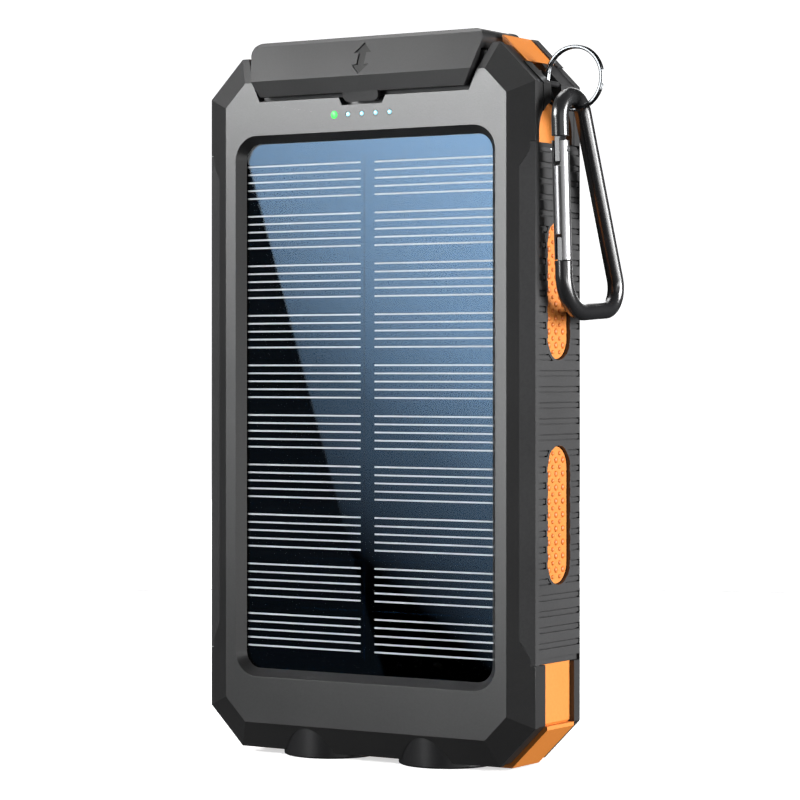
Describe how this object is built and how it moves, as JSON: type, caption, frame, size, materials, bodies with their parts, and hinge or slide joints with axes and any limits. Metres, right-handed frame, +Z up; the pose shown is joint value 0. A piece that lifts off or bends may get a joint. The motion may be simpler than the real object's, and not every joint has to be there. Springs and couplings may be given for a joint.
{
  "type": "solar phone charger",
  "caption": "Rugged pocket solar power bank with octagonal case, front solar panel, rubber grips, flap over the ports, twin end torches and a snap hook on a split ring.",
  "frame": {"origin": "centre of the flat back face", "axes": "+Z up towards the port end, -Y out of the solar panel, +Y out of the back face, +X towards the snap hook side"},
  "size_m": [0.0886, 0.0306, 0.1462],
  "materials": {
    "shell_plastic": "fine textured",
    "bumper_rubber": "matt",
    "grip_rubber": "matt",
    "panel_clear": "polished",
    "solar_cell": "gloss",
    "cell_print": "printed",
    "black_plastic": "satin",
    "port_steel": "satin",
    "board_green": "solder mask",
    "light_diffuser": "translucent",
    "battery_foil": "satin",
    "lead_insulation": "satin",
    "reflector_chrome": "polished",
    "led_board": "satin",
    "screw_steel": "black oxide",
    "ring_steel": "polished",
    "hook_paint": "satin black",
    "gate_aluminium": "polished"
  },
  "bodies": {
    "case": {"front_shell": "shell_plastic", "rear_shell": "shell_plastic", "bumper_frame": "bumper_rubber", "left_grip": "grip_rubber", "right_grip": "grip_rubber", "panel_cover": "panel_clear", "panel_gasket": "grip_rubber", "solar_cells": "solar_cell", "cell_fingers": "cell_print", "panel_backing": "solar_cell", "port_bezel": "black_plastic", "usb_a_port_left": "port_steel", "usb_a_port_right": "port_steel", "usb_c_port": "port_steel", "main_board": "board_green", "board_chips": "black_plastic", "inductor": "black_plastic", "status_leds": "light_diffuser", "light_pipe": "light_diffuser", "tact_switch": "black_plastic", "battery_cell": "battery_foil", "battery_foam": "grip_rubber", "battery_leads": "lead_insulation", "panel_leads": "lead_insulation", "torch_leads": "lead_insulation", "torch_barrel_left": "black_plastic", "torch_barrel_right": "black_plastic", "torch_lens_left": "panel_clear", "torch_lens_right": "panel_clear", "torch_reflector_left": "reflector_chrome", "torch_reflector_right": "reflector_chrome", "torch_led_left": "led_board", "torch_led_right": "led_board", "case_screws": "screw_steel", "lanyard_post": "ring_steel"},
    "port_flap": {"port_cover": "shell_plastic"},
    "button": {"power_button": "black_plastic"},
    "ring": {"split_ring": "ring_steel"},
    "hook": {"hook_body": "hook_paint"},
    "gate": {"hook_gate": "gate_aluminium", "gate_pin": "ring_steel", "gate_plunger": "ring_steel", "gate_spring": "ring_steel"}
  },
  "joints": [
    {"name": "port_flap_hinge", "type": "hinge", "parent": "case", "child": "port_flap", "pos_m": [0, -0.0051, 0.0706], "axis": [-1, 0, 0], "range_deg": [0, 110]},
    {"name": "power_button_press", "type": "slide", "parent": "case", "child": "button", "axis": [1, 0, 0], "range_m": [0, 0.0006], "stiffness_N_per_m": 3000},
    {"name": "ring_swing", "type": "hinge", "parent": "case", "child": "ring", "pos_m": [0.03805, -0.0105, 0.063], "axis": [0, 1, 0], "range_deg": [-20, 2]},
    {"name": "hook_swing", "type": "hinge", "parent": "ring", "child": "hook", "pos_m": [0.043, -0.0105, 0.05775], "axis": [1, 0, 0], "range_deg": [-35, 35]},
    {"name": "gate_hinge", "type": "hinge", "parent": "hook", "child": "gate", "pos_m": [0.043, -0.01598, 0.0496], "axis": [1, 0, 0], "range_deg": [0, 25], "stiffness_Nm_per_rad": 0.02, "springref_deg": -17.19}
  ]
}
